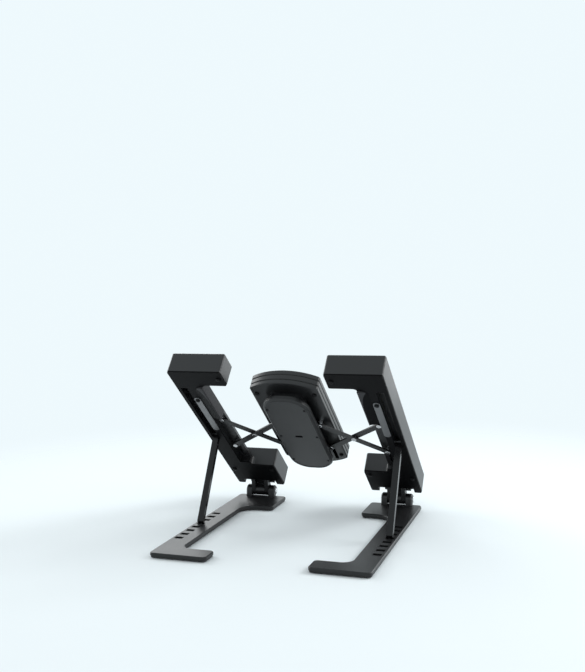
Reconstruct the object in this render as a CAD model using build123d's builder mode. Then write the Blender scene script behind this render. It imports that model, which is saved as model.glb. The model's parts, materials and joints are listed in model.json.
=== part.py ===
# Folding laptop stand: two C-shaped arms on hinged C-shaped feet, joined by crossed links to a fan unit.
# Frame: millimetres, +Z up, +Y to the rear, +X to the left seen from behind; desk at Z = 0.
import os
from math import acos, atan2, cos, degrees, hypot, radians, sin

from build123d import *

os.makedirs("parts", exist_ok=True)

# Arms, measured along the underside from a line near the front edge
arm_span = 254.4  # over the outer sides of both arms
arm_rear = 270.7
arm_nose = 1.3  # front edge, ahead of the measuring line
arm_angle = 40.6
arm_front_y = 3.1  # measuring line, from the foot's front edge
arm_front_z = 23.8
arm_height = 27.0
cover_thick = 1.6
head_reach = 66.6  # from the outer side to the heads' inner end
rear_head = 27.7
front_head = 51.5
flange_width = 34.7  # the beam's low inner flange, from the outer side
flange_top = 11.7  # at its inner edge
flange_root = 17.0  # where it meets the rail
rail_width = 22.7  # the beam's full-height rail
ridge_drop = 2.6  # inner edge of the cover's ridge below the underside
ridge_round = 10.0
ridge_stop = 3.0  # ridge ends this far ahead of the rear head
arm_wall = 2.6
arm_pad = 1.2
arm_edge = 1.2
arm_round = 5.0
head_round = 2.5
pad_margin = 6.0
pad_round = 4.0
screw_boss = 4.2
hollow_front = 22.0

# Feet
foot_inset = 0.9  # outer edges inside the arms' outer sides
foot_length = 266.6
foot_beam = 28.0
toe_reach = 67.0  # from the outer edge to the front toe's inner end
rear_toe_reach = 68.6
rear_toe = 25.3
front_toe = 55.0
foot_top = 6.5
foot_edge = 0.8
pad_height = 1.0
sole_step = 2.0  # height of the stepped-in lower edge
sole_inset = 0.8
toe_round = 5.0
bend_rear = 12.0
bend_front = 20.0
slot_count = 8
slot_pitch = 15.1
slot_width = 10.0
slot_length = 6.8
slot_depth = 3.6
slot_to_rear = 58.8  # rearmost slot, from the foot's rear edge
slot_used = 4  # counted from the rear, starting at 0
sole_pad_margin = 7.0
sole_pad_front = 14.0

# Hinge, hook and prop rod
hinge_inset = 32.7  # middle of the hinge, from the arm's outer side
hinge_ahead = 8.0  # axis ahead of the measuring line
hinge_drop = 6.0  # axis below the underside
barrel_radius = 7.0
pin_radius = 3.0
pin_proud = 0.8
knuckle_width = 5.2
knuckle_root = 9.0
knuckle_sink = 2.0
bracket_wall = 8.0
bracket_base = 2.0  # let into the foot
bracket_front = 1.2
bracket_rear = 9.0
bracket_bevel = 1.5
cut_out_side = 3.0  # wider than the ear on its outer side
cut_out_depth = 6.1
cut_out_length = 7.0
hook_width = 34.0
hook_barrel = 12.4
hook_thick = 4.5
hook_gap = 0.8  # in front of the arm
hook_reach = 46.0  # from the hinge axis to the hook's end
hook_root = 10.4
hook_round = 1.2
hook_pad_size = 6.0
hook_pad_thick = 0.7
rod_inset = 9.2
rod_width = 7.6
rod_thick = 5.6
rod_to_head = 121.0  # pivot, ahead of the rear head
rod_t = 5.4
rod_eye = 3.5
rod_pin_radius = 2.0
rod_pin_seat = 2.6  # in each wall of the channel
rod_lift = 0.6  # tip above the foot
channel_play = 0.5
channel_top = 9.2
strip_thick = 0.8
strip_width = 8.2
strip_front = 142.0
strip_to_rear = 54.0
strip_screw = 5.0  # from the strip's rear end

# Crossed links
link_fan_inset = 13.5
link_arm_inset = 27.2
link_to_fan = 32.0  # front pins, behind the fan unit's front corners
link_span = 58.0
link_width = 7.5
link_thick = 2.0
link_a_base = 2.8
link_b_base = 5.4
link_pin = 2.0
link_head = 3.2
link_washer = 3.4
rivet_head = 1.0
slide_head = 0.8
rivet_tail = 0.7
washer_play = 0.1
pocket_roof = 8.5
pocket_side = 6.0
pin_seat = 2.4

# Fan unit
fan_half = 41.5
fan_front_play = 1.0  # to the front heads of the closed arms
fan_rear_play = 5.0
fan_front_bulge = 13.5
fan_rear_bulge = 13.0
fan_round = 4.0
fan_base_t = 9.5
fan_mid_t = 15.0
fan_top_t = 21.5
fan_roof_t = 27.5
fan_wall = 3.0
fan_floor = 2.4
groove = 0.9
grille_radii = (15.0, 22.0, 29.0)
grille_counts = (8, 12, 16)
grille_slot = 5.6
grille_width = 2.6
hull_bottom = -5.0
lid_seam = -1.6  # the hull's lid ends here
hull_step = 1.2
hull_edge = 1.8
pan_side = 13.5  # inside the fan unit's sides
pan_flat = 4.0  # half the straight run at the pan's ends
pan_front_margin = 9.5  # inside the ends of the fan unit
pan_rear_margin = 14.0
neck_side = 6.0  # inside the pan
neck_end = 8.0
neck_round = 12.0
hull_wall = 2.0
vent_end = 14.0
vent_low = 2.6
vent_high = 8.3
vent_rim = 0.9
slat_count = 20
slat_width = 1.4
lid_screw_side = 5.0
lid_screw_end = 22.0
lid_head = 2.0
lid_shank = 1.2
lid_sink = 1.4
lid_shadow = 0.3  # screw heads below the lid's face
lid_bite = 2.0
fan_to_rear = 44.0  # fan axis, ahead of the pan's rear end
impeller_radius = 31.0
impeller_base = 13.2
impeller_top = 23.6
impeller_disc = 1.2
hub_radius = 11.5
hub_roof = 2.0
blade_count = 17
blade_thick = 1.3
blade_angle = 24
motor_radius = 10.5
motor_top = 12.4
motor_edge = 1.0
shaft_radius = 1.5
shaft_seat = 1.0
socket_wide = 9.6
socket_deep = 4.2
socket_round = 1.6
socket_wall = 0.6
socket_sink = 0.4
board_play = 4.0  # inside the hull
board_to_motor = 11.5
board_thick = 1.6
board_post = 4.0  # posts, inside the board's edges
post_radius = 2.4

# Screws
screw_side = 6.5  # from the fan unit's corners
screw_front_end = 8.0
screw_rear_end = 11.0
screw_radius = 1.5
screw_head = 2.8
head_thick = 1.3
cover_bite = 10.0
bracket_bite = 4.0

# Fits
running = 0.05
snug = 0.02
slide = 0.3
gap = 0.4

# Derived places
tilt = radians(arm_angle)
arm_out = arm_span / 2
head_in = arm_out - head_reach
head_mid = (head_in + arm_out) / 2
flange_in = arm_out - flange_width
rail_in = arm_out - rail_width
rear_face = arm_rear - rear_head
foot_out = arm_out - foot_inset
foot_in = foot_out - foot_beam
toe_in = foot_out - toe_reach
rear_toe_in = foot_out - rear_toe_reach
hinge_x = arm_out - hinge_inset
rod_x = arm_out - rod_inset
rod_s = rear_face - rod_to_head
link_arm_x = arm_out - link_arm_inset
fan_front_apex = front_head + fan_front_play
fan_rear_apex = rear_face - fan_rear_play
fan_front = fan_front_apex + fan_front_bulge
fan_rear = fan_rear_apex - fan_rear_bulge
pan_front = fan_front_apex + pan_front_margin
pan_rear = fan_rear_apex - pan_rear_margin
pan_half = fan_half - pan_side
pan_corner = pan_half - pan_flat
neck_half = pan_half - neck_side
neck_front = pan_front + neck_end
neck_rear = pan_rear - neck_end
vent_front = neck_front + vent_end
vent_rear = neck_rear - vent_end
fan_s = pan_rear - fan_to_rear
board_half = neck_half - hull_wall - board_play
socket_s = fan_s - motor_radius - board_to_motor - board_half
link_fan_x = fan_half - link_fan_inset
link_front = fan_front + link_to_fan
link_rear = link_front + link_span
hook_s = arm_nose + hook_gap + hook_thick / 2
hook_top = hook_reach - hinge_drop
hook_front_y = arm_front_y - (hook_s + hook_thick / 2) * cos(tilt) - hook_top * sin(tilt)
y_mid = (hook_front_y + foot_length) / 2
hinge_y = arm_front_y - hinge_ahead * cos(tilt) + hinge_drop * sin(tilt)
hinge_z = arm_front_z - hinge_ahead * sin(tilt) - hinge_drop * cos(tilt)
foot_plane = Plane(origin=(0, -y_mid, 0))
arm_normal = (0, -sin(tilt), cos(tilt))
arm_plane = Plane(origin=(0, arm_front_y - y_mid, arm_front_z), x_dir=(1, 0, 0), z_dir=arm_normal)
arm_up = Axis(arm_plane.origin, arm_plane.z_dir)
knuckle_a = hinge_x - hook_barrel / 2 - gap - knuckle_width
knuckle_b = hinge_x + hook_barrel / 2 + gap
bracket_a = knuckle_a - gap - bracket_wall
bracket_b = knuckle_b + knuckle_width + gap
bracket_end = bracket_b + bracket_wall
slot_rear = foot_length - slot_to_rear
slot_y = slot_rear - slot_used * slot_pitch
rod_y = arm_front_y + rod_s * cos(tilt) - rod_t * sin(tilt)
rod_z = arm_front_z + rod_s * sin(tilt) + rod_t * cos(tilt)
tip_z = foot_top + rod_lift + rod_thick / 2
rod_length = hypot(slot_y - rod_y, tip_z - rod_z)
rod_lean = degrees(atan2(tip_z - rod_z, slot_y - rod_y)) - arm_angle  # from the arm's own direction
channel_width = rod_width + 2 * channel_play
rod_turn = radians(-rod_lean)
rod_leaves = rod_s + (rod_t * cos(rod_turn) - rod_thick / 2) / sin(rod_turn)  # front edge at the underside
channel_front = min(rod_s - rod_eye, rod_leaves) - channel_play
channel_rear = rod_s + rod_length + rod_thick / 2 + channel_play
strip_out = rod_x - channel_width / 2 - gap
strip_rear = arm_rear - strip_to_rear
close_travel = flange_in - fan_half - gap  # each arm moves in by this much
link_half = hypot(link_arm_x - link_fan_x, link_rear - link_front) / 2
link_rest = atan2(link_rear - link_front, link_arm_x - link_fan_x)
link_closed = acos((link_arm_x - link_fan_x - close_travel) / (2 * link_half))
slide_front = link_rear - 2 * link_half * sin(link_closed)
link_mid = ((link_fan_x + link_arm_x) / 2, (link_front + link_rear) / 2)
pocket_front = slide_front - link_width
pocket_rear = link_rear + 2 * link_width
pocket_out = link_arm_x + pocket_side


def arm_side(x):
    return Plane(origin=arm_plane.from_local_coords((x, 0, 0)), x_dir=arm_plane.y_dir, z_dir=(1, 0, 0))


def arm_section(s):
    return Plane(origin=arm_plane.from_local_coords((0, s, 0)), x_dir=(1, 0, 0), z_dir=-arm_plane.y_dir)


def foot_side(x):
    return Plane(origin=foot_plane.from_local_coords((x, 0, 0)), x_dir=(0, 1, 0), z_dir=(1, 0, 0))


# Foot plate with its row of slots, and its pads
c_foot = [
    (foot_out, 0), (foot_out, foot_length), (rear_toe_in, foot_length), (rear_toe_in, foot_length - rear_toe),
    (foot_in, foot_length - rear_toe), (foot_in, front_toe), (toe_in, front_toe), (toe_in, 0),
]
with BuildSketch() as foot_outline:
    with BuildLine():
        Polyline(*c_foot, close=True)
    make_face()
    bends = foot_outline.vertices().filter_by(lambda v: abs(v.X - foot_in) < snug)
    fillet(bends.sort_by(Axis.Y)[-1], bend_rear)
    bends = foot_outline.vertices().filter_by(lambda v: abs(v.X - foot_in) < snug)
    fillet(bends.sort_by(Axis.Y)[0], bend_front)
    ends = foot_outline.vertices().filter_by(
        lambda v: min(abs(v.X - x) for x in (toe_in, rear_toe_in, foot_out)) < snug)
    fillet(ends, toe_round)

with BuildPart() as foot_plate:
    with BuildSketch(foot_plane.offset(pad_height)):
        add(foot_outline.sketch)
        offset(amount=-sole_inset)
    extrude(amount=sole_step)
    with BuildSketch(foot_plane.offset(pad_height + sole_step)):
        add(foot_outline.sketch)
    extrude(amount=foot_top - pad_height - sole_step)
    chamfer(foot_plate.faces().sort_by(Axis.Z)[-1].edges(), foot_edge)
    with BuildSketch(foot_plane.offset(foot_top)):
        with Locations(*[(rod_x, slot_rear - i * slot_pitch) for i in range(slot_count)]):
            Rectangle(slot_width, slot_length)
    extrude(amount=-slot_depth, mode=Mode.SUBTRACT)
    with BuildSketch(foot_plane.offset(foot_top)):
        with Locations((hinge_x, (bracket_front + bracket_rear) / 2)):
            Rectangle(bracket_end - bracket_a + 2 * snug, bracket_rear - bracket_front + 2 * snug)
    extrude(amount=-bracket_base, mode=Mode.SUBTRACT)

with BuildPart() as foot_pads:
    with BuildSketch(foot_plane):
        with Locations(((rear_toe_in + foot_out) / 2, foot_length - rear_toe / 2)):
            RectangleRounded(rear_toe_reach - 2 * sole_pad_margin, rear_toe - 2 * toe_round, pad_round)
        with Locations(((toe_in + foot_out) / 2, (sole_pad_front + front_toe - sole_pad_margin) / 2)):
            RectangleRounded(toe_reach - 2 * sole_pad_margin,
                             front_toe - sole_pad_margin - sole_pad_front, pad_round)
    extrude(amount=pad_height)

# Hinge bracket let into the foot, its screws from below, and the pin
with BuildPart() as hinge_bracket:
    with BuildSketch(foot_plane.offset(foot_top)):
        with Locations((hinge_x, (bracket_front + bracket_rear) / 2)):
            Rectangle(bracket_end - bracket_a, bracket_rear - bracket_front)
    extrude(amount=-bracket_base)
    for x in (bracket_a, bracket_b):
        with BuildSketch(foot_side(x)):
            with Locations((hinge_y, hinge_z)):
                Circle(barrel_radius)
            with Locations(((bracket_front + bracket_rear) / 2, foot_top)):
                Rectangle(bracket_rear - bracket_front, snug)
            make_hull()
        extrude(amount=bracket_wall)
    outer = hinge_bracket.edges().filter_by(
        lambda e: min(abs(e.center().X - bracket_a), abs(e.center().X - bracket_end)) < snug)
    chamfer(outer.filter_by(GeomType.CIRCLE), bracket_bevel)
    with BuildSketch(foot_side(bracket_a)):
        with Locations((hinge_y, hinge_z)):
            Circle(pin_radius + snug)
    extrude(amount=bracket_end - bracket_a, mode=Mode.SUBTRACT)

screw_y = (bracket_front + bracket_rear) / 2
hinge_screw_spots = [(bracket_a + bracket_wall / 2, screw_y), (bracket_b + bracket_wall / 2, screw_y)]
with BuildPart() as hinge_screws:
    with BuildSketch(foot_plane.offset(pad_height)):
        with Locations(*hinge_screw_spots):
            Circle(screw_head)
    extrude(amount=head_thick)
    with BuildSketch(foot_plane.offset(pad_height)):
        with Locations(*hinge_screw_spots):
            Circle(screw_radius)
    extrude(amount=foot_top - pad_height + bracket_bite)
with foot_plate:
    with BuildSketch(foot_plane.offset(pad_height)):
        with Locations(*hinge_screw_spots):
            Circle(screw_head + snug)
    extrude(amount=head_thick, mode=Mode.SUBTRACT)
for piece in (hinge_bracket, foot_plate):
    with piece:
        with BuildSketch(foot_plane.offset(pad_height)):
            with Locations(*hinge_screw_spots):
                Circle(screw_radius + snug)
        extrude(amount=foot_top - pad_height + bracket_bite, mode=Mode.SUBTRACT)

with BuildPart() as hinge_pin:
    with BuildSketch(foot_side(bracket_a - pin_proud)):
        with Locations((hinge_y, hinge_z)):
            Circle(pin_radius)
    extrude(amount=bracket_end - bracket_a + 2 * pin_proud)

# Arm: rail with a low inner flange, two heads, hinge knuckles
c_arm = [
    (arm_out, -arm_nose), (arm_out, arm_rear), (head_in, arm_rear), (head_in, rear_face),
    (flange_in, rear_face), (flange_in, front_head), (head_in, front_head), (head_in, -arm_nose),
]
with BuildSketch() as arm_outline:
    with BuildLine():
        Polyline(*c_arm, close=True)
    make_face()
    fillet(arm_outline.vertices().filter_by(lambda v: abs(v.X - flange_in) < snug), arm_round)
    fillet(arm_outline.vertices().filter_by(
        lambda v: min(abs(v.X - head_in), abs(v.X - arm_out)) < snug), head_round)

boss_in = head_in + arm_wall + screw_boss - gap
boss_out = arm_out - arm_wall - screw_boss + gap
strip_spot = (strip_out - strip_width / 2, strip_rear - strip_screw)
head_spots = [
    (boss_in, rear_face + rear_head / 2), (boss_in, front_head - arm_wall - screw_boss - screw_head),
    (boss_out, front_head - arm_wall - 2 * screw_boss - screw_head),
]
cover_spots = [strip_spot, *head_spots]
cut_out_width = knuckle_a - bracket_a + cut_out_side
cut_outs = [knuckle_a - cut_out_width / 2, knuckle_b + knuckle_width + cut_out_width / 2]
pocket = ((flange_in - pocket_side + pocket_out) / 2, (pocket_front + pocket_rear) / 2)
channel = (rod_x, (channel_front + channel_rear) / 2)
hollow = arm_height - cover_thick - arm_wall
with BuildPart() as arm:
    with BuildSketch(arm_plane.offset(cover_thick)):
        add(arm_outline.sketch)
    extrude(amount=arm_height - cover_thick)
    with BuildSketch(arm_section(front_head)):
        with BuildLine():
            Polyline((head_in, flange_top), (flange_in, flange_top), (rail_in, flange_root),
                     (rail_in, arm_height), (head_in, arm_height), close=True)
        make_face()
    extrude(amount=front_head - rear_face, mode=Mode.SUBTRACT)
    chamfer(arm.faces().sort_by(arm_up)[-1].edges(), arm_edge)
    with BuildSketch(arm_plane.offset(cover_thick)):
        with Locations((head_mid, rear_face + rear_head / 2)):
            Rectangle(head_reach - 2 * arm_wall, rear_head - 2 * arm_wall)
        with Locations((head_mid, (hollow_front + front_head - arm_wall) / 2)):
            Rectangle(head_reach - 2 * arm_wall, front_head - arm_wall - hollow_front)
    extrude(amount=hollow, mode=Mode.SUBTRACT)
    with BuildSketch(arm_plane.offset(cover_thick)):
        with Locations(*head_spots):
            Circle(screw_boss)
    extrude(amount=hollow)
    for x in (knuckle_a, knuckle_b):
        with BuildSketch(arm_side(x)):
            with Locations((-hinge_ahead, -hinge_drop)):
                Circle(barrel_radius)
            with Locations(((knuckle_root - arm_nose) / 2, cover_thick + knuckle_sink / 2)):
                Rectangle(knuckle_root + arm_nose, knuckle_sink)
            make_hull()
        extrude(amount=knuckle_width)
    with BuildSketch(arm_side(knuckle_a)):
        with Locations((-hinge_ahead, -hinge_drop)):
            Circle(pin_radius + running)
    extrude(amount=knuckle_b + knuckle_width - knuckle_a, mode=Mode.SUBTRACT)
    with BuildSketch(arm_plane.offset(cover_thick)):
        with Locations(*[(x, cut_out_length / 2 - arm_nose) for x in cut_outs]):
            Rectangle(cut_out_width, cut_out_length)
    extrude(amount=cut_out_depth - cover_thick, mode=Mode.SUBTRACT)
    with BuildSketch(arm_plane):
        with Locations(pocket):
            Rectangle(pocket_out - flange_in + pocket_side, pocket_rear - pocket_front)
    extrude(amount=pocket_roof, mode=Mode.SUBTRACT)
    with BuildSketch(arm_plane):
        with Locations((link_arm_x, (slide_front + link_front) / 2)):
            SlotCenterToCenter(link_front - slide_front + 2 * slide, 2 * (link_pin + slide), rotation=90)
    extrude(amount=pocket_roof + pin_seat + slide, mode=Mode.SUBTRACT)
    with BuildSketch(arm_plane):
        with Locations((link_arm_x, link_rear)):
            Circle(link_pin + snug)
    extrude(amount=pocket_roof + pin_seat, mode=Mode.SUBTRACT)
    with BuildSketch(arm_plane):
        with Locations(channel):
            Rectangle(channel_width, channel_rear - channel_front)
    extrude(amount=channel_top, mode=Mode.SUBTRACT)
    with BuildSketch(arm_side(rod_x - channel_width / 2 - rod_pin_seat)):
        with Locations((rod_s, rod_t)):
            Circle(rod_pin_radius + snug)
    extrude(amount=channel_width + 2 * rod_pin_seat, mode=Mode.SUBTRACT)
    with BuildSketch(arm_plane):
        with Locations(*cover_spots):
            Circle(screw_radius + snug)
    extrude(amount=cover_bite, mode=Mode.SUBTRACT)

# Cover of the arm's underside with its sloping ridge, screws and pads
ridge_rear = rear_face - ridge_stop
with BuildSketch() as ridge_plan:
    with Locations(((flange_in + gap + rail_in) / 2, (pocket_rear + ridge_rear) / 2)):
        Rectangle(rail_in - flange_in - gap, ridge_rear - pocket_rear)
    fillet(ridge_plan.vertices().group_by(Axis.X)[-1].sort_by(Axis.Y)[-1], ridge_round)

with BuildPart() as ridge:
    with BuildSketch(arm_plane.offset(-ridge_drop)):
        add(ridge_plan.sketch)
    extrude(amount=ridge_drop + cover_thick)
    with BuildSketch(arm_section(pocket_rear)):
        with BuildLine():
            Polyline((rail_in, 0), (rail_in, cover_thick), (flange_in + gap, cover_thick),
                     (flange_in + gap, -ridge_drop), close=True)
        make_face()
    extrude(amount=pocket_rear - ridge_rear, mode=Mode.INTERSECT)

with BuildPart() as arm_cover:
    with BuildSketch(arm_plane):
        add(arm_outline.sketch)
        offset(amount=-gap)
        with Locations((hinge_x, (knuckle_root - arm_nose) / 2)):
            Rectangle(cut_outs[1] - cut_outs[0] + cut_out_width, knuckle_root + arm_nose + 2 * gap,
                      mode=Mode.SUBTRACT)
        with Locations(pocket):
            Rectangle(pocket_out - flange_in + pocket_side, pocket_rear - pocket_front, mode=Mode.SUBTRACT)
        with Locations(channel):
            Rectangle(channel_width, channel_rear - channel_front, mode=Mode.SUBTRACT)
    extrude(amount=cover_thick)
    add(ridge.part)
    with BuildSketch(arm_plane):
        with Locations(*cover_spots):
            Circle(screw_radius + snug)
    extrude(amount=cover_thick, mode=Mode.SUBTRACT)

with BuildPart() as lock_strip:
    with BuildSketch(arm_plane):
        with Locations((strip_out - strip_width / 2, (strip_front + strip_rear) / 2)):
            RectangleRounded(strip_width, strip_rear - strip_front, strip_width / 2 - snug)
        with Locations(strip_spot):
            Circle(screw_radius + snug, mode=Mode.SUBTRACT)
    extrude(amount=-strip_thick)

with BuildPart() as arm_screws:
    with BuildSketch(arm_plane.offset(-strip_thick)):
        with Locations(strip_spot):
            Circle(screw_head)
    extrude(amount=-head_thick)
    with BuildSketch(arm_plane):
        with Locations(*head_spots):
            Circle(screw_head)
    extrude(amount=-head_thick)
    with BuildSketch(arm_plane.offset(-strip_thick)):
        with Locations(strip_spot):
            Circle(screw_radius)
    extrude(amount=strip_thick + cover_bite)
    with BuildSketch(arm_plane):
        with Locations(*head_spots):
            Circle(screw_radius)
    extrude(amount=cover_bite)

with BuildPart() as arm_pads:
    with BuildSketch(arm_plane.offset(arm_height)):
        with Locations((head_mid, rear_face + rear_head / 2)):
            RectangleRounded(head_reach - 2 * pad_margin, rear_head - 2 * pad_margin, pad_round)
        with Locations((head_mid, front_head / 2)):
            RectangleRounded(head_reach - 2 * pad_margin, front_head - 2 * pad_margin, pad_round)
    extrude(amount=arm_pad)

# Prop rod and its pin
with BuildPart() as prop_rod:
    with BuildSketch(arm_side(rod_x - rod_width / 2)):
        with Locations(Location((rod_s, rod_t), rod_lean)):
            with Locations((rod_length / 2, 0)):
                SlotCenterToCenter(rod_length, rod_thick)
        with Locations((rod_s, rod_t)):
            Circle(rod_eye)
            Circle(rod_pin_radius + running, mode=Mode.SUBTRACT)
    extrude(amount=rod_width)

with BuildPart() as rod_pin:
    with BuildSketch(arm_side(rod_x - channel_width / 2 - rod_pin_seat)):
        with Locations((rod_s, rod_t)):
            Circle(rod_pin_radius)
    extrude(amount=channel_width + 2 * rod_pin_seat)

# Front hook on the hinge pin, turned up
with BuildPart() as front_hook:
    with BuildSketch(arm_side(hinge_x - hook_width / 2)):
        with Locations((-hook_s, (hook_root + hook_reach) / 2 - hinge_drop)):
            RectangleRounded(hook_thick, hook_reach - hook_root, hook_round)
    extrude(amount=hook_width)
    with BuildSketch(arm_side(hinge_x - hook_barrel / 2)):
        with Locations((-hinge_ahead, -hinge_drop)):
            Circle(barrel_radius)
        with Locations((-hook_s, hook_root / 2 + hook_round - hinge_drop)):
            Rectangle(hook_thick, hook_root + 2 * hook_round)
    extrude(amount=hook_barrel)
    with BuildSketch(arm_side(hinge_x - hook_barrel / 2)):
        with Locations((-hinge_ahead, -hinge_drop)):
            Circle(pin_radius + running)
    extrude(amount=hook_barrel, mode=Mode.SUBTRACT)

with BuildPart() as hook_pad:
    with BuildSketch(arm_side(hinge_x - hook_width / 2 + hook_round)):
        with Locations((hook_pad_thick / 2 - arm_nose - hook_gap, hook_top - hook_round - hook_pad_size / 2)):
            Rectangle(hook_pad_thick, hook_pad_size)
    extrude(amount=hook_width - 2 * hook_round)

# Crossed links, their rivet, posts and sliding pins
with BuildPart() as link_a:
    with BuildSketch(arm_plane.offset(link_a_base)):
        with Locations(Location(link_mid, -degrees(link_rest))):
            SlotCenterToCenter(2 * link_half, link_width)
        with Locations((link_fan_x, link_rear)):
            Circle(link_pin + running, mode=Mode.SUBTRACT)
        with Locations(link_mid, (link_arm_x, link_front)):
            Circle(link_pin + snug, mode=Mode.SUBTRACT)
    extrude(amount=link_thick)

with BuildPart() as link_b:
    with BuildSketch(arm_plane.offset(link_b_base)):
        with Locations(Location(link_mid, degrees(link_rest))):
            SlotCenterToCenter(2 * link_half, link_width)
        with Locations((link_arm_x, link_rear), link_mid):
            Circle(link_pin + running, mode=Mode.SUBTRACT)
        with Locations((link_fan_x, link_front)):
            Circle(link_pin + snug, mode=Mode.SUBTRACT)
    extrude(amount=link_thick)


def turned(place, steps):
    with BuildPart() as pin:
        for base, top, radius in steps:
            with BuildSketch(arm_plane.offset(base)):
                with Locations(place):
                    Circle(radius)
            extrude(amount=top - base)
    return pin


a_top = link_a_base + link_thick
b_top = link_b_base + link_thick
cross_rivet = turned(link_mid, [
    (link_a_base - rivet_head, link_a_base, link_head), (link_a_base, b_top, link_pin),
    (a_top, link_b_base, link_head), (b_top, b_top + rivet_tail, link_head),
])
fan_post = turned((link_fan_x, link_rear), [
    (link_a_base - rivet_head, link_a_base, link_head), (link_a_base, fan_base_t + fan_floor, link_pin),
    (a_top + washer_play, fan_base_t, link_washer),
])
arm_post = turned((link_arm_x, link_rear), [
    (link_b_base - rivet_head, link_b_base, link_head), (link_b_base, pocket_roof + pin_seat, link_pin),
    (b_top + washer_play, pocket_roof, link_washer),
])
slide_pin_arm = turned((link_arm_x, link_front), [
    (link_a_base - rivet_head, link_a_base, link_head), (link_a_base, pocket_roof + pin_seat, link_pin),
])
slide_pin_fan = turned((link_fan_x, link_front), [
    (link_b_base - slide_head, link_b_base, link_head),
    (link_b_base, fan_base_t + fan_floor - slide, link_pin),
])

# Fan unit: three layers with grooves between them
with BuildSketch() as fan_outline:
    with BuildLine():
        ThreePointArc((fan_half, fan_rear), (0, fan_rear_apex), (-fan_half, fan_rear))
        Line((-fan_half, fan_rear), (-fan_half, fan_front))
        ThreePointArc((-fan_half, fan_front), (0, fan_front_apex), (fan_half, fan_front))
        Line((fan_half, fan_front), (fan_half, fan_rear))
    make_face()
    fillet(fan_outline.vertices(), fan_round)
screw_x = fan_half - screw_side
screw_rows = (fan_front + screw_front_end, fan_rear - screw_rear_end)
fan_corners = [(x, s) for x in (-screw_x, screw_x) for s in screw_rows]


def fan_layer(base, top, hollow_base, hollow_top):
    with BuildPart() as layer:
        with BuildSketch(arm_plane.offset(base)):
            add(fan_outline.sketch)
        extrude(amount=top - base)
        levels = layer.faces().sort_by(arm_up)
        chamfer(levels[-1].edges() + levels[0].edges(), groove)
        with BuildSketch(arm_plane.offset(hollow_base)):
            add(fan_outline.sketch)
            offset(amount=-fan_wall)
            with Locations(*fan_corners):
                Circle(screw_boss, mode=Mode.SUBTRACT)
        extrude(amount=hollow_top - hollow_base, mode=Mode.SUBTRACT)
        with BuildSketch(arm_plane.offset(base)):
            with Locations(*fan_corners):
                Circle(screw_radius + snug)
        extrude(amount=hollow_top - base, mode=Mode.SUBTRACT)
    return layer.part


def neck_hollow():
    with BuildSketch() as inside:
        with Locations((0, (neck_front + neck_rear) / 2)):
            RectangleRounded(2 * (neck_half - hull_wall), neck_rear - neck_front - 2 * hull_wall,
                             neck_round - hull_wall)
    return inside.sketch


with BuildPart() as fan_base:
    add(fan_layer(fan_base_t, fan_mid_t, fan_base_t + fan_floor, fan_mid_t))
    with BuildSketch(arm_plane.offset(fan_base_t)):
        add(neck_hollow())
        with Locations(*[(x, (slide_front + link_front) / 2) for x in (-link_fan_x, link_fan_x)]):
            SlotCenterToCenter(link_front - slide_front + 2 * slide, 2 * (link_pin + slide), rotation=90)
        with Locations((-link_fan_x, link_rear), (link_fan_x, link_rear)):
            Circle(link_pin + snug)
    extrude(amount=fan_floor, mode=Mode.SUBTRACT)

with BuildPart() as fan_frame:
    add(fan_layer(fan_mid_t, fan_top_t, fan_mid_t, fan_top_t))

with BuildPart() as fan_top:
    add(fan_layer(fan_top_t, fan_roof_t, fan_top_t, fan_roof_t - fan_floor))
    for radius, count in zip(grille_radii, grille_counts):
        with BuildSketch(arm_plane.offset(fan_top_t)):
            with Locations((0, fan_s)):
                with PolarLocations(radius, count):
                    Rectangle(grille_width, grille_slot)
        extrude(amount=fan_roof_t - fan_top_t, mode=Mode.SUBTRACT)

with BuildPart() as fan_screws:
    with BuildSketch(arm_plane.offset(fan_base_t)):
        with Locations(*fan_corners):
            Circle(screw_head)
    extrude(amount=-head_thick)
    with BuildSketch(arm_plane.offset(fan_base_t)):
        with Locations(*fan_corners):
            Circle(screw_radius)
    extrude(amount=fan_roof_t - fan_floor - fan_base_t)

# Hull with side outlets, closed by a screwed lid
post_x = board_half - board_post
post_spots = [(x, socket_s + y) for x in (-post_x, post_x) for y in (-post_x, post_x)]
lid_screw_x = pan_half - lid_screw_side
lid_rows = (pan_front + lid_screw_end, socket_s, pan_rear - lid_screw_end)
lid_spots = [(x, s) for x in (-lid_screw_x, lid_screw_x) for s in lid_rows]
lid_depth = lid_seam - hull_bottom
with BuildSketch() as pan_outline:
    with Locations((0, (pan_front + pan_rear) / 2)):
        RectangleRounded(2 * pan_half, pan_rear - pan_front, pan_corner)

with BuildPart() as hull_lid:
    with BuildSketch(arm_plane.offset(hull_bottom)):
        add(pan_outline.sketch)
    extrude(amount=lid_depth)
    chamfer(hull_lid.faces().sort_by(arm_up)[0].edges(), hull_edge)
    with BuildSketch(arm_plane.offset(hull_bottom + hull_wall)):
        add(neck_hollow())
        with Locations(*post_spots):
            Circle(post_radius, mode=Mode.SUBTRACT)
    extrude(amount=lid_depth, mode=Mode.SUBTRACT)
    with BuildSketch(arm_plane.offset(hull_bottom)):
        with Locations((0, socket_s)):
            RectangleRounded(socket_wide + 2 * snug, socket_deep + 2 * snug, socket_round)
    extrude(amount=hull_wall, mode=Mode.SUBTRACT)
    with BuildSketch(arm_plane.offset(hull_bottom)):
        with Locations(*lid_spots):
            Circle(lid_head + snug)
    extrude(amount=lid_sink, mode=Mode.SUBTRACT)
    with BuildSketch(arm_plane.offset(hull_bottom)):
        with Locations(*lid_spots):
            Circle(lid_shank + snug)
    extrude(amount=lid_depth, mode=Mode.SUBTRACT)

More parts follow.
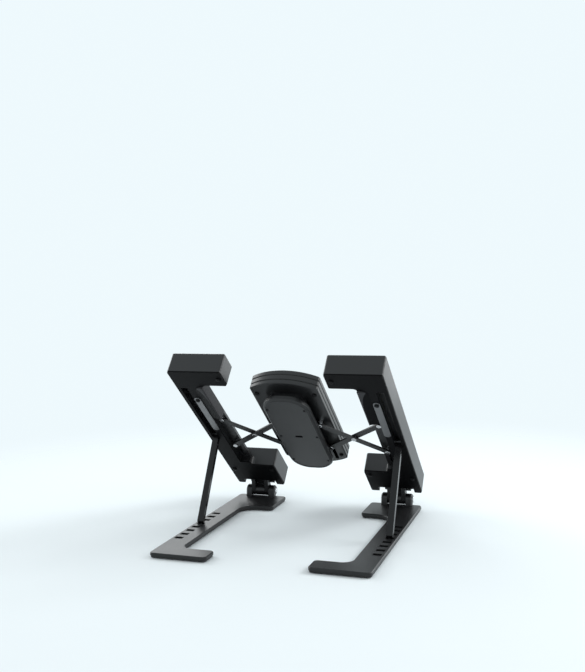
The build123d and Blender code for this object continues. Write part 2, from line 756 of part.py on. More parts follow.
with BuildPart() as hull:
    with BuildSketch(arm_plane.offset(lid_seam)):
        add(pan_outline.sketch)
    extrude(amount=hull_step - lid_seam)
    chamfer(hull.faces().sort_by(arm_up)[0].edges(), gap)
    with BuildSketch(arm_plane.offset(hull_step)):
        with Locations((0, (neck_front + neck_rear) / 2)):
            RectangleRounded(2 * neck_half, neck_rear - neck_front, neck_round)
    extrude(amount=fan_base_t - hull_step)
    with BuildSketch(arm_plane.offset(lid_seam)):
        add(neck_hollow())
    extrude(amount=fan_base_t - lid_seam, mode=Mode.SUBTRACT)
    with BuildSketch(arm_plane.offset(vent_low)):
        with Locations((0, (vent_front + vent_rear) / 2)):
            Rectangle(2 * neck_half, vent_rear - vent_front)
    extrude(amount=vent_high - vent_low, mode=Mode.SUBTRACT)
    with BuildSketch(arm_plane.offset(lid_seam)):
        with Locations(*lid_spots):
            Circle(lid_shank + snug)
    extrude(amount=lid_bite, mode=Mode.SUBTRACT)

with BuildPart() as lid_screws:
    with BuildSketch(arm_plane.offset(hull_bottom + lid_shadow)):
        with Locations(*lid_spots):
            Circle(lid_head)
    extrude(amount=lid_sink - lid_shadow)
    with BuildSketch(arm_plane.offset(hull_bottom + lid_sink)):
        with Locations(*lid_spots):
            Circle(lid_shank)
    extrude(amount=lid_depth - lid_sink + lid_bite)

slat_step = (vent_rear - vent_front - slat_width) / slat_count


def outlet(side):
    x = side * (neck_half - hull_wall / 2)
    openings = [(x, vent_front + slat_width / 2 + (i + 0.5) * slat_step) for i in range(slat_count)]
    with BuildPart() as grille:
        with BuildSketch(arm_plane.offset(vent_low)):
            with Locations((x, (vent_front + vent_rear) / 2)):
                Rectangle(hull_wall, vent_rear - vent_front)
        extrude(amount=vent_high - vent_low)
        with BuildSketch(arm_plane.offset(vent_low + vent_rim)):
            with Locations(*openings):
                Rectangle(hull_wall, slat_step - slat_width)
        extrude(amount=vent_high - vent_low - 2 * vent_rim, mode=Mode.SUBTRACT)
    return grille


left_outlet = outlet(1)
right_outlet = outlet(-1)

# Impeller on its shaft, motor
motor_base = hull_bottom + hull_wall
shaft_top = impeller_top - hub_roof
with BuildPart() as impeller:
    with BuildSketch(arm_plane.offset(impeller_base)):
        with Locations((0, fan_s)):
            Circle(impeller_radius)
    extrude(amount=impeller_disc)
    with BuildSketch(arm_plane.offset(impeller_base)):
        with Locations((0, fan_s)):
            with PolarLocations((impeller_radius + hub_radius) / 2, blade_count):
                Rectangle(impeller_radius - hub_radius, blade_thick, rotation=blade_angle)
            Circle(hub_radius)
    extrude(amount=impeller_top - impeller_base)
    with BuildSketch(arm_plane.offset(impeller_base)):
        with Locations((0, fan_s)):
            Circle(shaft_radius + snug)
    extrude(amount=shaft_top - impeller_base, mode=Mode.SUBTRACT)

with BuildPart() as shaft:
    with BuildSketch(arm_plane.offset(motor_base + shaft_seat)):
        with Locations((0, fan_s)):
            Circle(shaft_radius)
    extrude(amount=shaft_top - motor_base - shaft_seat)

with BuildPart() as motor:
    with BuildSketch(arm_plane.offset(motor_base)):
        with Locations((0, fan_s)):
            Circle(motor_radius)
    extrude(amount=motor_top - motor_base)
    chamfer(motor.faces().sort_by(arm_up)[-1].edges(), motor_edge)
    with BuildSketch(arm_plane.offset(motor_base + shaft_seat)):
        with Locations((0, fan_s)):
            Circle(shaft_radius + running)
    extrude(amount=motor_top - motor_base, mode=Mode.SUBTRACT)

# Circuit board on the lid's posts, inlet socket below it
with BuildPart() as circuit_board:
    with BuildSketch(arm_plane.offset(lid_seam)):
        with Locations((0, socket_s)):
            Rectangle(2 * board_half, 2 * board_half)
    extrude(amount=board_thick)

with BuildPart() as inlet_socket:
    with BuildSketch(arm_plane.offset(hull_bottom + socket_sink)):
        with Locations((0, socket_s)):
            RectangleRounded(socket_wide, socket_deep, socket_round)
    extrude(amount=lid_depth - socket_sink)
    with BuildSketch(arm_plane.offset(hull_bottom + socket_sink)):
        with Locations((0, socket_s)):
            RectangleRounded(socket_wide - 2 * socket_wall, socket_deep - 2 * socket_wall,
                             socket_round - socket_wall)
    extrude(amount=lid_depth - socket_sink - 2 * socket_wall, mode=Mode.SUBTRACT)

# Named pieces: one file each, the side pieces twice
sided = {
    "foot_plate": foot_plate, "foot_pads": foot_pads, "hinge_bracket": hinge_bracket,
    "hinge_screws": hinge_screws, "hinge_pin": hinge_pin, "arm": arm, "arm_cover": arm_cover,
    "lock_strip": lock_strip, "arm_screws": arm_screws, "arm_pads": arm_pads, "prop_rod": prop_rod,
    "rod_pin": rod_pin, "front_hook": front_hook, "hook_pad": hook_pad, "link_a": link_a, "link_b": link_b,
    "cross_rivet": cross_rivet, "fan_post": fan_post, "arm_post": arm_post,
    "slide_pin_arm": slide_pin_arm, "slide_pin_fan": slide_pin_fan,
}
centred = {
    "fan_base": fan_base, "fan_frame": fan_frame, "fan_top": fan_top, "fan_screws": fan_screws,
    "hull": hull, "hull_lid": hull_lid, "lid_screws": lid_screws, "left_outlet": left_outlet,
    "right_outlet": right_outlet, "impeller": impeller, "shaft": shaft, "motor": motor,
    "circuit_board": circuit_board, "inlet_socket": inlet_socket,
}
for label, piece in centred.items():
    piece.part.label = label
    export_step(piece.part, f"parts/{label}.step")
for label, piece in sided.items():
    piece.part.label = f"left_{label}"
    export_step(piece.part, f"parts/left_{label}.step")
    with BuildPart() as twin:
        mirror(piece.part, about=Plane.YZ)
    twin.part.label = f"right_{label}"
    export_step(twin.part, f"parts/right_{label}.step")
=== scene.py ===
import json
import math

import bmesh
import bpy
import numpy as np
from mathutils import Matrix, Vector


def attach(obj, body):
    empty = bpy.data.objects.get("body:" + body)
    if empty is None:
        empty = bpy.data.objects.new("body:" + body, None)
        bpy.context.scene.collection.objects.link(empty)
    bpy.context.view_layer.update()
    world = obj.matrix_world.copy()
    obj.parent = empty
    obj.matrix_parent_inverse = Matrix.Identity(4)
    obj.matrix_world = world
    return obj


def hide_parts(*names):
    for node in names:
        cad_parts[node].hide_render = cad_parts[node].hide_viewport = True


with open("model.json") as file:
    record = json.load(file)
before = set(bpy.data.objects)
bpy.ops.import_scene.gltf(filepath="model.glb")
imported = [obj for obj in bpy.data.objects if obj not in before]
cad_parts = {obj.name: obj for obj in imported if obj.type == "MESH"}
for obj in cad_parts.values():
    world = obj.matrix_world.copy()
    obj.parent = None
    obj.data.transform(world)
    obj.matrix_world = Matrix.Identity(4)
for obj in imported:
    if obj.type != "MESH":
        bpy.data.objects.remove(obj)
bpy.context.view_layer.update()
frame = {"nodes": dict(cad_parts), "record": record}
scene = bpy.context.scene
scene.view_settings.view_transform = "Standard"
record = frame["record"]
nodeSlots = {row["node"]: row["material_slot"] for row in record["subparts"]}
nodeBodies = {node: body for body, nodes in record["behaviour"]["bodies"].items() for node in nodes}
print("frame loaded:", len(frame["nodes"]), "nodes")

armPlane = {"angle": 40.6, "frontY": -116.2289, "frontZ": 23.8}  # slope in degrees, front end in millimetres
armSides = {"left_arm": 1, "right_arm": -1}


# shader groups: fine noise gives the height, a slow cloud gives the tone

mouldGrain = {"grain": 2500.0, "cloud": 18.0, "detail": (2.0, 3.0)}
brushedLines = {"grain": 2200.0, "cloud": 60.0, "detail": (2.0, 2.0), "stretch": (1.0, 0.02, 1.0)}


def newGroup(name, look):
    group = bpy.data.node_groups.new(name, "ShaderNodeTree")
    for label, value in (("Grain", look["grain"]), ("Cloud", look["cloud"])):
        socket = group.interface.new_socket(label, in_out="INPUT", socket_type="NodeSocketFloat")
        socket.default_value = value
    for label in ("Height", "Tone"):
        group.interface.new_socket(label, in_out="OUTPUT", socket_type="NodeSocketFloat")
    return group


def noisePair(group, place, look):
    given, out = group.nodes.new("NodeGroupInput"), group.nodes.new("NodeGroupOutput")
    for scale, result, detail in zip(("Grain", "Cloud"), ("Height", "Tone"), look["detail"]):
        noise = group.nodes.new("ShaderNodeTexNoise")
        noise.inputs["Detail"].default_value = detail
        group.links.new(place, noise.inputs["Vector"])
        group.links.new(given.outputs[scale], noise.inputs["Scale"])
        group.links.new(noise.outputs["Fac"], out.inputs[result])


def mouldGrainGroup():
    # spark-eroded mould texture, the same in every direction
    group = newGroup("mouldGrain", mouldGrain)
    place = group.nodes.new("ShaderNodeTexCoord")
    noisePair(group, place.outputs["Object"], mouldGrain)
    return group


def brushedLinesGroup():
    # rolled metal: the noise is stretched along the arms' slope
    group = newGroup("brushedLines", brushedLines)
    place = group.nodes.new("ShaderNodeTexCoord")
    turn = group.nodes.new("ShaderNodeVectorRotate")
    turn.rotation_type = "X_AXIS"
    turn.inputs["Angle"].default_value = math.radians(-armPlane["angle"])
    stretch = group.nodes.new("ShaderNodeMapping")
    stretch.inputs["Scale"].default_value = brushedLines["stretch"]
    group.links.new(place.outputs["Object"], turn.inputs["Vector"])
    group.links.new(turn.outputs["Vector"], stretch.inputs["Vector"])
    noisePair(group, stretch.outputs["Vector"], brushedLines)
    return group


textures = {"grain": mouldGrainGroup(), "brushed": brushedLinesGroup()}


# materials

grainDepth = 0.0004  # metres, at a bump of one
finishes = {
    "shell": {
        "dark": (0.0045, 0.0045, 0.0052), "pale": (0.0070, 0.0070, 0.0080),
        "rough": (0.32, 0.42), "bump": 0.05, "grain": 2500.0,
    },
    "cover": {
        "dark": (0.0025, 0.0025, 0.0030), "pale": (0.0040, 0.0040, 0.0046),
        "rough": (0.44, 0.56), "bump": 0.10, "grain": 1800.0, "gloss": 0.07,
    },
    "fan": {
        "dark": (0.0050, 0.0050, 0.0056), "pale": (0.0080, 0.0080, 0.0088),
        "rough": (0.30, 0.40), "bump": 0.05, "grain": 2500.0,
    },
    "foot": {
        "dark": (0.0060, 0.0060, 0.0066), "pale": (0.0090, 0.0090, 0.0098),
        "rough": (0.34, 0.44), "bump": 0.05, "grain": 2000.0, "gloss": 0.40,
    },
    "link": {
        "dark": (0.0060, 0.0060, 0.0066), "pale": (0.0090, 0.0090, 0.0098),
        "rough": (0.32, 0.42), "bump": 0.03, "grain": 3000.0,
    },
    "pad": {
        "dark": (0.0180, 0.0180, 0.0190), "pale": (0.0250, 0.0250, 0.0260),
        "rough": (0.70, 0.82), "bump": 0.15, "grain": 900.0, "gloss": 0.30,
    },
    "rotor": {
        "dark": (0.0200, 0.0200, 0.0220), "pale": (0.0280, 0.0280, 0.0300),
        "rough": (0.38, 0.48), "bump": 0.03, "grain": 3000.0,
    },
    "board": {
        "dark": (0.0100, 0.0600, 0.0300), "pale": (0.0160, 0.0800, 0.0400),
        "rough": (0.30, 0.40), "bump": 0.02, "grain": 1200.0,
    },
    "motor": {
        "dark": (0.0500, 0.0500, 0.0540), "pale": (0.0700, 0.0700, 0.0740),
        "rough": (0.32, 0.42), "bump": 0.02, "grain": 3000.0, "metal": 1.0,
    },
    "screw": {
        "dark": (0.0040, 0.0040, 0.0046), "pale": (0.0060, 0.0060, 0.0066),
        "rough": (0.36, 0.46), "bump": 0.02, "grain": 4000.0, "gloss": 0.12,
    },
    # painted light: a lighter, matte copy of the near-black cover plastic for the cap on the arms' ridge, standing
    # in for the light on its flank and the inner wall
    "ridge": {
        "dark": (0.0370, 0.0370, 0.0400), "pale": (0.0470, 0.0470, 0.0500),
        "rough": (0.50, 0.62), "bump": 0.08, "grain": 1800.0, "gloss": 0.12,
    },
    "rod": {
        "dark": (0.0030, 0.0030, 0.0035), "pale": (0.0045, 0.0045, 0.0052),
        "rough": (0.12, 0.18), "bump": 0.02, "grain": 3000.0, "gloss": 0.32,
    },
    "steel": {
        "dark": (0.1850, 0.1850, 0.1900), "pale": (0.2650, 0.2650, 0.2700),
        "rough": (0.34, 0.48), "bump": 0.06, "grain": 2200.0, "metal": 1.0, "texture": "brushed",
    },
    "pin": {
        "dark": (0.6000, 0.6000, 0.6100), "pale": (0.7200, 0.7200, 0.7300),
        "rough": (0.16, 0.26), "bump": 0.01, "grain": 4000.0, "metal": 1.0,
    },
}


def finishMaterial(name, look):
    material = bpy.data.materials.new(name)
    material.use_nodes = True
    tree = material.node_tree
    shader = tree.nodes["Principled BSDF"]
    grain = tree.nodes.new("ShaderNodeGroup")
    grain.node_tree = textures[look.get("texture", "grain")]
    grain.inputs["Grain"].default_value = look["grain"]
    tint = tree.nodes.new("ShaderNodeMix")
    tint.data_type = "RGBA"
    tint.inputs["A"].default_value = (*look["dark"], 1)
    tint.inputs["B"].default_value = (*look["pale"], 1)
    rough = tree.nodes.new("ShaderNodeMapRange")
    rough.inputs["To Min"].default_value = look["rough"][0]
    rough.inputs["To Max"].default_value = look["rough"][1]
    bump = tree.nodes.new("ShaderNodeBump")
    bump.inputs["Strength"].default_value = look["bump"]
    bump.inputs["Distance"].default_value = grainDepth
    shader.inputs["Metallic"].default_value = look.get("metal", 0.0)
    shader.inputs["Specular IOR Level"].default_value = look.get("gloss", 0.5)
    tree.links.new(grain.outputs["Tone"], tint.inputs["Factor"])
    tree.links.new(tint.outputs["Result"], shader.inputs["Base Color"])
    tree.links.new(grain.outputs["Tone"], rough.inputs["Value"])
    tree.links.new(rough.outputs["Result"], shader.inputs["Roughness"])
    tree.links.new(grain.outputs["Height"], bump.inputs["Height"])
    tree.links.new(bump.outputs["Normal"], shader.inputs["Normal"])
    return material


materials = {name: finishMaterial(name + "Finish", look) for name, look in finishes.items()}
print("materials made:", len(materials))


# moulded pieces: merged copies of the solids with rounded edges

edgeRounding = {  # metres, by the end of the node's name; the widest match counts
    "foot_plate": 0.0004, "hinge_bracket": 0.0006, "arm": 0.0006, "arm_cover": 0.0003, "prop_rod": 0.0007,
    "front_hook": 0.0006, "link_a": 0.0004, "link_b": 0.0004, "fan_base": 0.0003, "fan_frame": 0.0003,
    "fan_top": 0.0003, "hull": 0.0005, "outlet": 0.0002, "impeller": 0.0002, "motor": 0.0004,
    "circuit_board": 0.0002, "inlet_socket": 0.00015, "shaft": 0.0002, "pads": 0.0004, "pad": 0.0003,
    "lock_strip": 0.0002, "hull_lid": 0.0004, "screws": 0.0003, "pin": 0.0003, "rivet": 0.0003, "post": 0.0003,
    "slide_pin_fan": 0.0003,
}
longEdges = {"prop_rod": {"width": 0.0016, "length": 0.030}}  # wider rounding of edges past this length
ownFinish = {"prop_rod": "rod"}
moulding = {  # merge in metres, angles in degrees
    "merge": 2e-6, "flat": 0.4, "sharp": 32, "corner": 35, "segments": 2, "longSegments": 3,
}


def pieceName(node):
    words = node.split("_")
    return words[0] + "".join(word.capitalize() for word in words[1:])


def matchEnd(table, node, otherwise=None):
    return next((value for end, value in table.items() if node.endswith(end)), otherwise)


def weighEdges(mesh, small, long):
    # share of the full rounding for each edge: one for long convex edges, a fraction for other corners
    work = bmesh.new()
    work.from_mesh(mesh)
    corner = math.radians(moulding["corner"])
    share = [0.0 if len(edge.link_faces) != 2 or edge.calc_face_angle() < corner
             else 1.0 if edge.is_convex and edge.calc_length() > long["length"]
             else small / long["width"] for edge in work.edges]
    work.free()
    mesh.attributes.new("bevel_weight_edge", "FLOAT", "EDGE").data.foreach_set("value", share)


def roundedCopy(node):
    mesh = frame["nodes"][node].data.copy()
    mesh.materials.clear()
    work = bmesh.new()
    work.from_mesh(mesh)
    bmesh.ops.remove_doubles(work, verts=work.verts, dist=moulding["merge"])
    flatAngle = math.radians(moulding["flat"])
    bmesh.ops.dissolve_limit(work, angle_limit=flatAngle, verts=work.verts, edges=work.edges)
    work.to_mesh(mesh)
    work.free()
    mesh.polygons.foreach_set("use_smooth", np.ones(len(mesh.polygons), bool))
    mesh.set_sharp_from_angle(angle=math.radians(moulding["sharp"]))
    mesh.materials.append(materials[matchEnd(ownFinish, node, nodeSlots[node])])
    piece = bpy.data.objects.new(pieceName(node), mesh)
    scene.collection.objects.link(piece)
    width = max(width for end, width in edgeRounding.items() if node.endswith(end))
    bevel = piece.modifiers.new("edgeRound", "BEVEL")
    bevel.width = width
    bevel.segments = moulding["segments"]
    bevel.limit_method = "ANGLE"
    bevel.angle_limit = math.radians(moulding["corner"])
    long = matchEnd(longEdges, node)
    if long:
        weighEdges(mesh, width, long)
        bevel.width = long["width"]
        bevel.segments = moulding["longSegments"]
        bevel.limit_method = "WEIGHT"
    flat = piece.modifiers.new("flatFaces", "WEIGHTED_NORMAL")
    flat.keep_sharp = True
    flat.weight = 100  # large faces decide
    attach(piece, nodeBodies[node])
    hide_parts(node)


plainNodes = [node for node in sorted(frame["nodes"]) if not node.endswith("arm_pads")]
for node in plainNodes:
    roundedCopy(node)
print("moulded pieces made:", len(plainNodes))


# new pieces are worked out in millimetres in the arm's own plane: x across, s up the slope, t off the underside

def armPoints(x, s, t):
    tilt = math.radians(armPlane["angle"])
    y = armPlane["frontY"] + s * math.cos(tilt) - t * math.sin(tilt)
    z = armPlane["frontZ"] + s * math.sin(tilt) + t * math.cos(tilt)
    return np.stack([x, y, z], axis=-1).reshape(-1, 3) / 1000


def gridFaces(rows, columns):
    # quads between neighbouring rows, the last column joined to the first
    corner = np.arange(rows * columns).reshape(rows, columns)
    after = np.roll(corner, -1, axis=1)
    return np.stack([corner[:-1], after[:-1], after[1:], corner[1:]], axis=-1).reshape(-1, 4)


def surfacePiece(name, points, faces, slot, body, replaced=(), sharp=moulding["sharp"]):
    mesh = bpy.data.meshes.new(name)
    mesh.from_pydata(points.tolist(), [], [list(face) for face in faces])
    work = bmesh.new()
    work.from_mesh(mesh)
    bmesh.ops.remove_doubles(work, verts=work.verts, dist=moulding["merge"])
    bmesh.ops.dissolve_degenerate(work, edges=work.edges, dist=moulding["merge"] / 2)
    bmesh.ops.recalc_face_normals(work, faces=work.faces)
    work.to_mesh(mesh)
    work.free()
    mesh.polygons.foreach_set("use_smooth", np.ones(len(mesh.polygons), bool))
    mesh.set_sharp_from_angle(angle=math.radians(sharp))
    mesh.materials.append(materials[slot])
    piece = bpy.data.objects.new(name, mesh)
    scene.collection.objects.link(piece)
    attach(piece, body)
    if replaced:
        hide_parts(*replaced)
    return piece


# cap in a lighter grey over the inner wall and the rear end of the ridge on each arm's underside: painted light, a
# lit copy of the near-black cover plastic standing in for the light that falls on the ridge's flank and the wall

paintedLightRidgeCap = {"wall": 92.5, "outer": 104.5, "front": 170.9, "rear": 240.05, "round": 10.0, "drop": 2.6, "skin": 0.12,
            "bite": 0.5, "edge": 1.2, "edgeSteps": 7, "skirt": 11.2, "lip": 1.4, "growth": 6, "stations": 48}


def paintedLightRidgeSurface(side):
    # angle section carried along s: the lip under the ridge widens with a high power of s and stays inside the
    # quarter circle at the rear, its face drops in proportion to the distance from the outer line, an arc rounds
    # the low inner edge, a skirt covers the wall
    cap = paintedLightRidgeCap
    share = np.sin(np.linspace(0, np.pi / 2, cap["stations"]))
    s = cap["front"] + (cap["rear"] - cap["front"]) * share
    curve = np.clip((s - cap["rear"]) / cap["round"] + 1, 0, 1)
    rearCorner = cap["outer"] - cap["round"] * (1 - np.sqrt(1 - curve ** 2))
    lip = cap["wall"] + cap["lip"] + (cap["outer"] - cap["wall"] - cap["lip"]) * share ** cap["growth"]
    outer = np.minimum(rearCorner, lip)
    arc = np.linspace(np.pi, 1.5 * np.pi, cap["edgeSteps"])
    inner = cap["wall"] - cap["skin"]
    slope = cap["drop"] / (cap["outer"] - cap["wall"])
    low = -cap["drop"] - cap["skin"]
    hidden = cap["wall"] + cap["bite"]
    fixedX = [hidden, hidden, inner, *(inner + cap["edge"] * (1 + np.cos(arc)))]
    fixedT = [cap["bite"], cap["skirt"], cap["skirt"], *(low + cap["edge"] * (1 + np.sin(arc)))]
    along = np.ones_like(s)[:, None]
    x = np.concatenate([along * fixedX, outer[:, None], outer[:, None]], axis=1)
    lowOuter = -slope * (cap["outer"] - outer) - cap["skin"]
    t = np.concatenate([along * fixedT, lowOuter[:, None], along * cap["bite"]], axis=1)
    columns = x.shape[1]
    points = armPoints(side * x, np.repeat(s[:, None], columns, axis=1), t)
    faces = gridFaces(len(s), columns).tolist()
    faces.append(list(range(columns)))
    faces.append(list(range((len(s) - 1) * columns, len(s) * columns)))
    return points, faces


for body, side in armSides.items():
    piece = surfacePiece(pieceName(body) + "RidgeCap", *paintedLightRidgeSurface(side), "cover", body)
    # the cap's lighter grey is painted light on the ridge's flank and the inner wall
    piece.data.materials[0] = materials["ridge"]
print("ridge caps made")


# ribbed rests on the arms' heads

restPad = {"round": 4.0, "base": 26.9, "top": 28.2, "rib": 0.45, "pitch": 2.6, "lip": 0.6, "columns": 40,
           "step": 0.26, "sharp": 60}
restPads = {"Rear": (93.9, 256.85, 54.6, 15.7), "Front": (93.9, 25.75, 54.6, 39.5)}  # middle x and s, width, depth


def sheetFaces(rows, columns):
    # quads of an open grid, and one face that closes it along its border
    corner = np.arange(rows * columns).reshape(rows, columns)
    quads = np.stack([corner[:-1, :-1], corner[:-1, 1:], corner[1:, 1:], corner[1:, :-1]], axis=-1)
    border = np.concatenate([corner[0, :-1], corner[:-1, -1], corner[-1, :0:-1], corner[:0:-1, 0]])
    return quads.reshape(-1, 4).tolist() + [border.tolist()]


def restSurface(side, place):
    # square grid whose corner quarters are pulled in to arcs: ribs are a raised cosine along s,
    # the rim falls off in a quarter round, and the outermost row drops to the arm
    rest = restPad
    midX, midS, width, depth = place
    reach = np.array([width / 2 - rest["round"], depth / 2 - rest["round"]])
    u, v = np.meshgrid(np.linspace(-1, 1, rest["columns"]), np.linspace(-1, 1, round(depth / rest["step"])))
    flat = np.stack([u * width / 2, v * depth / 2], axis=-1)
    past = np.maximum(np.abs(flat) - reach, 0)
    length = np.maximum(np.linalg.norm(past, axis=-1, keepdims=True), 1e-9)
    pulled = past * past.max(axis=-1, keepdims=True) / length
    flat = np.where(past.min(axis=-1, keepdims=True) > 0, np.sign(flat) * (reach + pulled), flat)
    inside = rest["round"] - np.linalg.norm(np.maximum(np.abs(flat) - reach, 0), axis=-1)
    near = 1 - np.clip(inside / rest["lip"], 0, 1)
    fall = rest["lip"] * (1 - np.sqrt(1 - near ** 2))
    ribs = rest["rib"] * (0.5 - 0.5 * np.cos(2 * np.pi * flat[..., 1] / rest["pitch"]))
    t = np.pad(rest["top"] - np.maximum(ribs, fall), 1, constant_values=rest["base"])
    x = np.pad(midX + flat[..., 0], 1, mode="edge")
    s = np.pad(midS + flat[..., 1], 1, mode="edge")
    return armPoints(side * x, s, t), sheetFaces(*x.shape)


for body, side in armSides.items():
    for end, place in restPads.items():
        replaced = (body + "_pads",) if end == "Rear" else ()
        name = pieceName(body) + end + "Rest"
        surfacePiece(name, *restSurface(side, place), "pad", body, replaced, restPad["sharp"])
print("rests made:", 2 * len(restPads))


# raised bead round the lid of the pan

lidBead = {"half": 25.2, "front": 64.8, "rear": 221.2, "round": 21.2, "face": -4.75, "radius": 0.9, "around": 96,
           "section": 12, "sharp": 60}


def beadSurface():
    # ring of circles carried round a rounded rectangle, each circle square to the path
    bead = lidBead
    turn = np.linspace(0, 2 * np.pi, bead["around"], endpoint=False) + np.pi / bead["around"]
    outX, outS = np.cos(turn), np.sin(turn)
    midS, halfS = (bead["front"] + bead["rear"]) / 2, (bead["rear"] - bead["front"]) / 2
    pathX = np.sign(outX) * (bead["half"] - bead["round"]) + bead["round"] * outX
    pathS = midS + np.sign(outS) * (halfS - bead["round"]) + bead["round"] * outS
    around = np.linspace(0, 2 * np.pi, bead["section"], endpoint=False)
    x = pathX[:, None] + bead["radius"] * outX[:, None] * np.cos(around)
    s = pathS[:, None] + bead["radius"] * outS[:, None] * np.cos(around)
    t = np.broadcast_to(bead["face"] + bead["radius"] * np.sin(around), x.shape)
    x, s, t = (np.concatenate([rows, rows[:1]]) for rows in (x, s, t))
    return armPoints(x, s, t), gridFaces(*x.shape)


surfacePiece("lidBead", *beadSurface(), "shell", "fan_unit", (), lidBead["sharp"])
print("lid bead made")


# domed screw heads with a cross recess

screwHead = {"dome": 0.40, "recess": 0.36, "bar": 0.36, "reach": 0.55, "soft": 0.16, "bite": 0.4, "rings": 17,
             "around": 64, "sharp": 40}
armSpots = [(120.8, 37.7, -1.3), (67.0, 256.85, -1.3), (67.0, 41.9, -1.3), (109.2, 211.7, -2.1)]
screwGroups = {  # body, radius, places as x, s and t
    "fanScrewHeads": ("fan_unit", 2.6, [(x, s, 8.2) for x in (-35.0, 35.0) for s in (74.0, 214.0)]),
    "lidScrewHeads": ("fan_unit", 1.85, [(x, s, -4.7) for x in (-23.0, 23.0) for s in (84.0, 142.0, 202.0)]),
    "leftArmScrewHeads": ("left_arm", 2.6, armSpots),
    "rightArmScrewHeads": ("right_arm", 2.6, [(-x, s, t) for x, s, t in armSpots]),
}


def screwHeadSurface(radius, spots):
    # disc at every spot: the height falls with the square of the radius, two crossed bars are sunk into it
    head = screwHead
    ring = np.concatenate([np.linspace(0, 1, head["rings"]), [1.0, 0.0]])[:, None]
    angle = np.linspace(0, 2 * np.pi, head["around"], endpoint=False)
    x, s = radius * ring * np.cos(angle), radius * ring * np.sin(angle)

    def bar(across, along):
        inside = np.clip((head["bar"] - np.abs(across)) / head["soft"] + 0.5, 0, 1)
        return inside * np.clip((head["reach"] * radius - np.abs(along)) / head["soft"] + 0.5, 0, 1)

    t = -head["dome"] * (1 - ring ** 2) + head["recess"] * np.maximum(bar(x, s), bar(s, x))
    t[-2:] = head["bite"]
    place = np.array(spots)[:, :, None, None]
    points = armPoints(place[:, 0] + x, place[:, 1] + s, place[:, 2] + t)
    faces = gridFaces(*x.shape)
    steps = np.arange(len(spots))[:, None, None] * x.size
    return points, (faces + steps).reshape(-1, 4)


for name, (body, radius, spots) in screwGroups.items():
    surfacePiece(name, *screwHeadSurface(radius, spots), "screw", body, (), screwHead["sharp"])
print("screw heads made:", sum(len(group[2]) for group in screwGroups.values()))


# floor, light and camera

studio = {
    "floor": (0.86, 0.95, 0.985), "floorRough": 0.9, "fadeNear": 0.30, "fadeFar": 0.85, "reach": 3.0,
    "worldLight": 0.75,
    "lamps": [
        {"name": "keySoftbox", "place": (-1.45, -0.75, 1.10), "size": 0.7, "power": 14.0},
        {"name": "frontLeftSoftbox", "place": (1.10, -1.80, 0.90), "size": 0.8, "power": 5.0},
        {"name": "frontRightSoftbox", "place": (-0.80, -1.60, 0.25), "size": 0.6, "power": 2.6},
        {"name": "rightSoftbox", "place": (-1.45, -0.05, 0.24), "size": 0.20, "power": 2.5},
        {"name": "leftSoftbox", "place": (1.70, -0.45, 0.85), "size": 0.7, "power": 8.0},
    ],
    "aim": (0.0, 0.0, 0.12),
}


def seenDirectly(tree):
    # one for the rays that show the backdrop: straight to the camera, off gloss or through glass
    rays = tree.nodes.new("ShaderNodeLightPath")
    total = None
    for label in ("Is Camera Ray", "Is Glossy Ray", "Is Transmission Ray"):
        if total is None:
            total = rays.outputs[label]
            continue
        pick = tree.nodes.new("ShaderNodeMath")
        pick.operation = "MAXIMUM"
        tree.links.new(total, pick.inputs[0])
        tree.links.new(rays.outputs[label], pick.inputs[1])
        total = pick.outputs["Value"]
    return total


def skyWorld():
    world = bpy.data.worlds.new("studioWorld")
    world.use_nodes = True
    tree = world.node_tree
    seen = tree.nodes["Background"]
    seen.inputs["Color"].default_value = (*studio["floor"], 1)
    seen.inputs["Strength"].default_value = 1.0
    light = tree.nodes.new("ShaderNodeBackground")
    light.inputs["Color"].default_value = (1, 1, 1, 1)
    light.inputs["Strength"].default_value = studio["worldLight"]
    mix = tree.nodes.new("ShaderNodeMixShader")
    tree.links.new(seenDirectly(tree), mix.inputs["Fac"])
    tree.links.new(light.outputs["Background"], mix.inputs[1])
    tree.links.new(seen.outputs["Background"], mix.inputs[2])
    tree.links.new(mix.outputs["Shader"], tree.nodes["World Output"].inputs["Surface"])
    scene.world = world


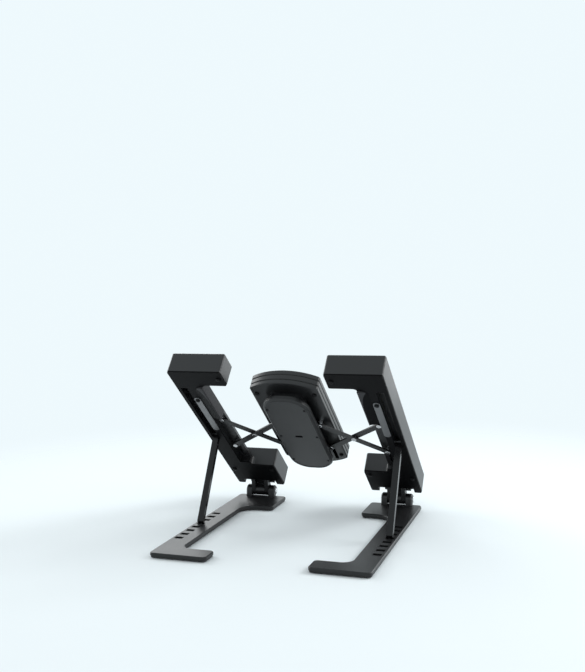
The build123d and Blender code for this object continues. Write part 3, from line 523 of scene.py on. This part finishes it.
def paleFloor():
    # square sheet whose paper fades out with the distance from the stand, so that it has no horizon
    corners = np.array([(-1, -1, 0), (1, -1, 0), (1, 1, 0), (-1, 1, 0)], float) * studio["reach"]
    mesh = bpy.data.meshes.new("floor")
    mesh.from_pydata(corners.tolist(), [], [(0, 1, 2, 3)])
    material = bpy.data.materials.new("floorPaper")
    material.use_nodes = True
    tree = material.node_tree
    shader = tree.nodes["Principled BSDF"]
    shader.inputs["Base Color"].default_value = (*studio["floor"], 1)
    shader.inputs["Roughness"].default_value = studio["floorRough"]
    shader.inputs["Specular IOR Level"].default_value = 0.0
    place = tree.nodes.new("ShaderNodeTexCoord")
    far = tree.nodes.new("ShaderNodeVectorMath")
    far.operation = "LENGTH"
    fade = tree.nodes.new("ShaderNodeMapRange")
    fade.interpolation_type = "SMOOTHSTEP"
    fade.inputs["From Min"].default_value = studio["fadeNear"]
    fade.inputs["From Max"].default_value = studio["fadeFar"]
    clear = tree.nodes.new("ShaderNodeBsdfTransparent")
    mix = tree.nodes.new("ShaderNodeMixShader")
    tree.links.new(place.outputs["Object"], far.inputs[0])
    tree.links.new(far.outputs["Value"], fade.inputs["Value"])
    tree.links.new(fade.outputs["Result"], mix.inputs["Fac"])
    tree.links.new(shader.outputs["BSDF"], mix.inputs[1])
    tree.links.new(clear.outputs["BSDF"], mix.inputs[2])
    tree.links.new(mix.outputs["Shader"], tree.nodes["Material Output"].inputs["Surface"])
    mesh.materials.append(material)
    floor = bpy.data.objects.new("floor", mesh)
    scene.collection.objects.link(floor)


def softbox(lamp):
    data = bpy.data.lights.new(lamp["name"], "AREA")
    data.shape = "SQUARE"
    data.size = lamp["size"]
    data.energy = lamp["power"]
    light = bpy.data.objects.new(lamp["name"], data)
    light.location = lamp["place"]
    light.rotation_euler = (Vector(studio["aim"]) - light.location).to_track_quat("-Z", "Y").to_euler()
    scene.collection.objects.link(light)


camera = {
    "place": (-0.34590, 1.00029, 0.31439), "azimuth": 199.262, "elevation": 4.296, "roll": -1.306, "lens": 47.672,
    "sensor": 36.0, "farClip": 200.0,
}


def photoCamera():
    azimuth, elevation, roll = (math.radians(camera[key]) for key in ("azimuth", "elevation", "roll"))
    back = Vector((math.sin(azimuth) * math.cos(elevation), -math.cos(azimuth) * math.cos(elevation),
                   math.sin(elevation)))
    right = (-back).cross(Vector((0, 0, 1))).normalized()
    up = right.cross(-back)
    turnedRight = right * math.cos(roll) + up * math.sin(roll)
    turnedUp = up * math.cos(roll) - right * math.sin(roll)
    data = bpy.data.cameras.new("photoCamera")
    data.lens = camera["lens"]
    data.sensor_width = camera["sensor"]
    data.clip_end = camera["farClip"]
    eye = bpy.data.objects.new("photoCamera", data)
    turn = Matrix((turnedRight, turnedUp, back)).transposed()
    eye.matrix_world = Matrix.Translation(camera["place"]) @ turn.to_4x4()
    scene.collection.objects.link(eye)
    scene.camera = eye


skyWorld()
paleFloor()
for lamp in studio["lamps"]:
    softbox(lamp)
photoCamera()
print("studio ready")
